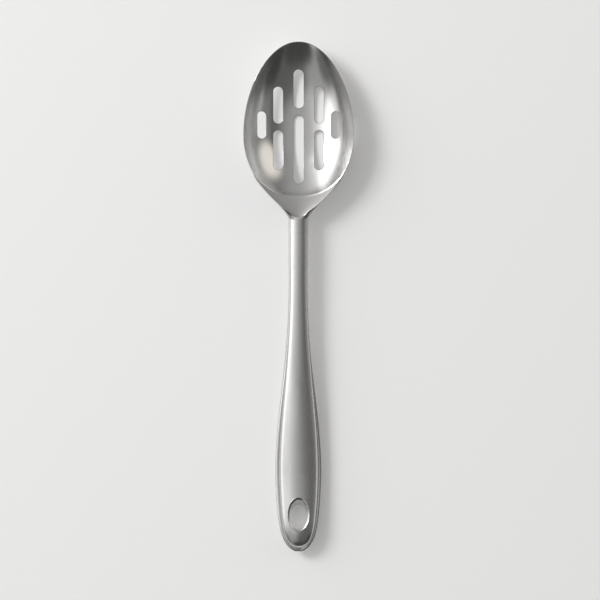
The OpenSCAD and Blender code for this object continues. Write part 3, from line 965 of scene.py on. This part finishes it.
# The camera, so that the spoon lies on the same pixels as in the photo
CAMERA_DISTANCE = 1600.0
CAMERA_AIM_HEIGHT = 10.0
SENSOR_WIDTH = 36.0
IMAGE_SIZE = 600
PIXEL = 0.6576
AXIS_PIXEL = 298.6
TIP_PIXEL = 42.0


def grey(tone):
    return tone, tone, tone, 1


def show_plainly(tree, shader):
    """Blends a plain pale tone into what the camera and the steel see of the floor."""
    seen = tree.nodes.new("ShaderNodeLightPath")
    plain = add_node(tree, "ShaderNodeEmission", {"Color": grey(FLOOR_TONE)}, {})
    share = seen.outputs["Is Camera Ray"]
    for kind in ("Is Glossy Ray", "Is Transmission Ray"):
        share = add_node(
            tree, "ShaderNodeMath", {}, {0: share, 1: seen.outputs[kind]}, operation="MAXIMUM",
        ).outputs["Value"]
    part = add_node(tree, "ShaderNodeMath", {1: FLOOR_SHARE}, {0: share}, operation="MULTIPLY")
    blend = add_node(
        tree, "ShaderNodeMixShader", {},
        {"Fac": part.outputs["Value"], 1: shader.outputs["BSDF"], 2: plain.outputs["Emission"]},
    )
    tree.links.new(blend.outputs["Shader"], tree.nodes["Material Output"].inputs["Surface"])


def make_stage():
    half = FLOOR_HALF * MM
    corners = [(-half, -half, 0), (half, -half, 0), (half, half, 0), (-half, half, 0)]
    mesh = bpy.data.meshes.new("floor")
    mesh.from_pydata(corners, [], [(0, 1, 2, 3)])
    floor = bpy.data.objects.new("floor", mesh)
    floor.location.z = cad_box[0].z - FLOOR_GAP * MM
    bpy.context.scene.collection.objects.link(floor)
    material, tree, shader = node_material("pale_floor")
    shader.inputs["Base Color"].default_value = (*FLOOR_COLOUR, 1)
    shader.inputs["Roughness"].default_value = FLOOR_ROUGHNESS
    show_plainly(tree, shader)
    mesh.materials.append(material)


def towards(azimuth, zenith):
    """A direction, from its turn round Z out of +X and its angle away from straight up."""
    a, z = math.radians(azimuth), math.radians(zenith)
    return math.cos(a) * math.sin(z), math.sin(a) * math.sin(z), math.cos(z)


def add_glow(tree, under, direction, azimuth, zenith, near, far, colour):
    """Blends a soft round patch of another tone into the sky's colour."""
    facing = add_node(
        tree, "ShaderNodeVectorMath", {1: towards(azimuth, zenith)}, {0: direction},
        operation="DOT_PRODUCT",
    )
    share = add_node(
        tree, "ShaderNodeMapRange",
        {"From Min": math.cos(math.radians(far)), "From Max": math.cos(math.radians(near))},
        {"Value": facing.outputs["Value"]},
        interpolation_type="SMOOTHSTEP",
    )
    blend = add_node(
        tree, "ShaderNodeMix", {"B": (*colour, 1)},
        {"Factor": share.outputs["Result"], "A": under},
        data_type="RGBA", clamp_result=False,
    )
    return blend.outputs["Result"]


def sky_colour(tree, direction):
    """The sky's tones across, darker near the horizon, with the soft patches on them."""
    parts = add_node(tree, "ShaderNodeSeparateXYZ", {}, {"Vector": direction})
    across = add_node(
        tree, "ShaderNodeMapRange", {"From Min": -1.0}, {"Value": parts.outputs["X"]},
    )
    ramp = add_node(tree, "ShaderNodeValToRGB", {}, {"Fac": across.outputs["Result"]})
    stops = ramp.color_ramp.elements
    while len(stops) < len(SKY):
        stops.new(0.5)
    for stop, (share, tone) in zip(stops, SKY):
        stop.position = share
        stop.color = grey(tone)
    height = add_node(
        tree, "ShaderNodeMapRange", {"From Min": HORIZON_FROM, "From Max": HORIZON_TO},
        {"Value": parts.outputs["Z"]},
        interpolation_type="SMOOTHSTEP",
    )
    colour = add_node(
        tree, "ShaderNodeMix", {"A": grey(HORIZON_TONE)},
        {"Factor": height.outputs["Result"], "B": ramp.outputs["Color"]},
        data_type="RGBA", clamp_result=False,
    ).outputs["Result"]
    for glow in GLOWS:
        colour = add_glow(tree, colour, direction, *glow)
    return colour


def make_world():
    """The surroundings that the steel mirrors, which the camera itself sees as plain white."""
    world = bpy.data.worlds.new("studio")
    bpy.context.scene.world = world
    world.use_nodes = True
    tree = world.node_tree
    colour = sky_colour(tree, tree.nodes.new("ShaderNodeTexCoord").outputs["Generated"])
    seen = tree.nodes.new("ShaderNodeLightPath").outputs["Is Camera Ray"]
    plain = add_node(
        tree, "ShaderNodeMix", {"B": grey(1)}, {"Factor": seen, "A": colour}, data_type="RGBA",
    )
    background = tree.nodes["Background"]
    background.inputs["Strength"].default_value = 1.0
    tree.links.new(plain.outputs["Result"], background.inputs["Color"])


def make_lamp():
    """One soft lamp, high up on the left beyond the tip, which casts the spoon's shadow."""
    lamp = bpy.data.lights.new("key", "AREA")
    lamp.shape = "SQUARE"
    lamp.size = LAMP_SIZE * MM
    lamp.energy = LAMP_POWER
    holder = bpy.data.objects.new("key", lamp)
    holder.location = Vector(LAMP_PLACE) * MM
    holder.rotation_mode = "QUATERNION"
    holder.rotation_quaternion = (-Vector(LAMP_PLACE)).to_track_quat("-Z", "Y")
    bpy.context.scene.collection.objects.link(holder)


def make_camera():
    camera = bpy.data.cameras.new("camera")
    camera.sensor_width = SENSOR_WIDTH
    camera.lens = SENSOR_WIDTH * CAMERA_DISTANCE / (IMAGE_SIZE * PIXEL)
    holder = bpy.data.objects.new("camera", camera)
    x = (IMAGE_SIZE / 2 - AXIS_PIXEL) * PIXEL
    y = LENGTH / 2 - (IMAGE_SIZE / 2 - TIP_PIXEL) * PIXEL
    holder.location = Vector((x, y, CAMERA_DISTANCE + CAMERA_AIM_HEIGHT)) * MM
    bpy.context.scene.collection.objects.link(holder)
    bpy.context.scene.camera = holder


bowl_steel = steel(
    "polished_steel", tint=(0.66, 0.655, 0.645), rough=0.2, rough_spread=0.05,
    grain=900.0, stretch=(1.0, 0.12, 1.0), bump=0.12, anisotropy=0.0,
)
handle_steel = steel(
    "satin_steel", tint=(0.64, 0.635, 0.625), rough=0.26, rough_spread=0.03,
    grain=1400.0, stretch=(1.0, 0.04, 1.0), bump=0.08, anisotropy=0.4,
)
sleeve_steel = steel(
    "lip_steel", tint=(0.68, 0.675, 0.665), rough=0.18, rough_spread=0.04,
    grain=900.0, stretch=(1.0, 1.0, 1.0), bump=0.1, anisotropy=0.0,
)

make_camera()
make_bowl(bowl_steel)
make_handle(True, "upper_shell", "handle_upper_shell", handle_steel)
make_handle(False, "lower_shell", "handle_lower_shell", handle_steel)
make_sleeve(sleeve_steel)
make_stage()
make_world()
make_lamp()

bpy.context.scene.view_settings.view_transform = "Standard"
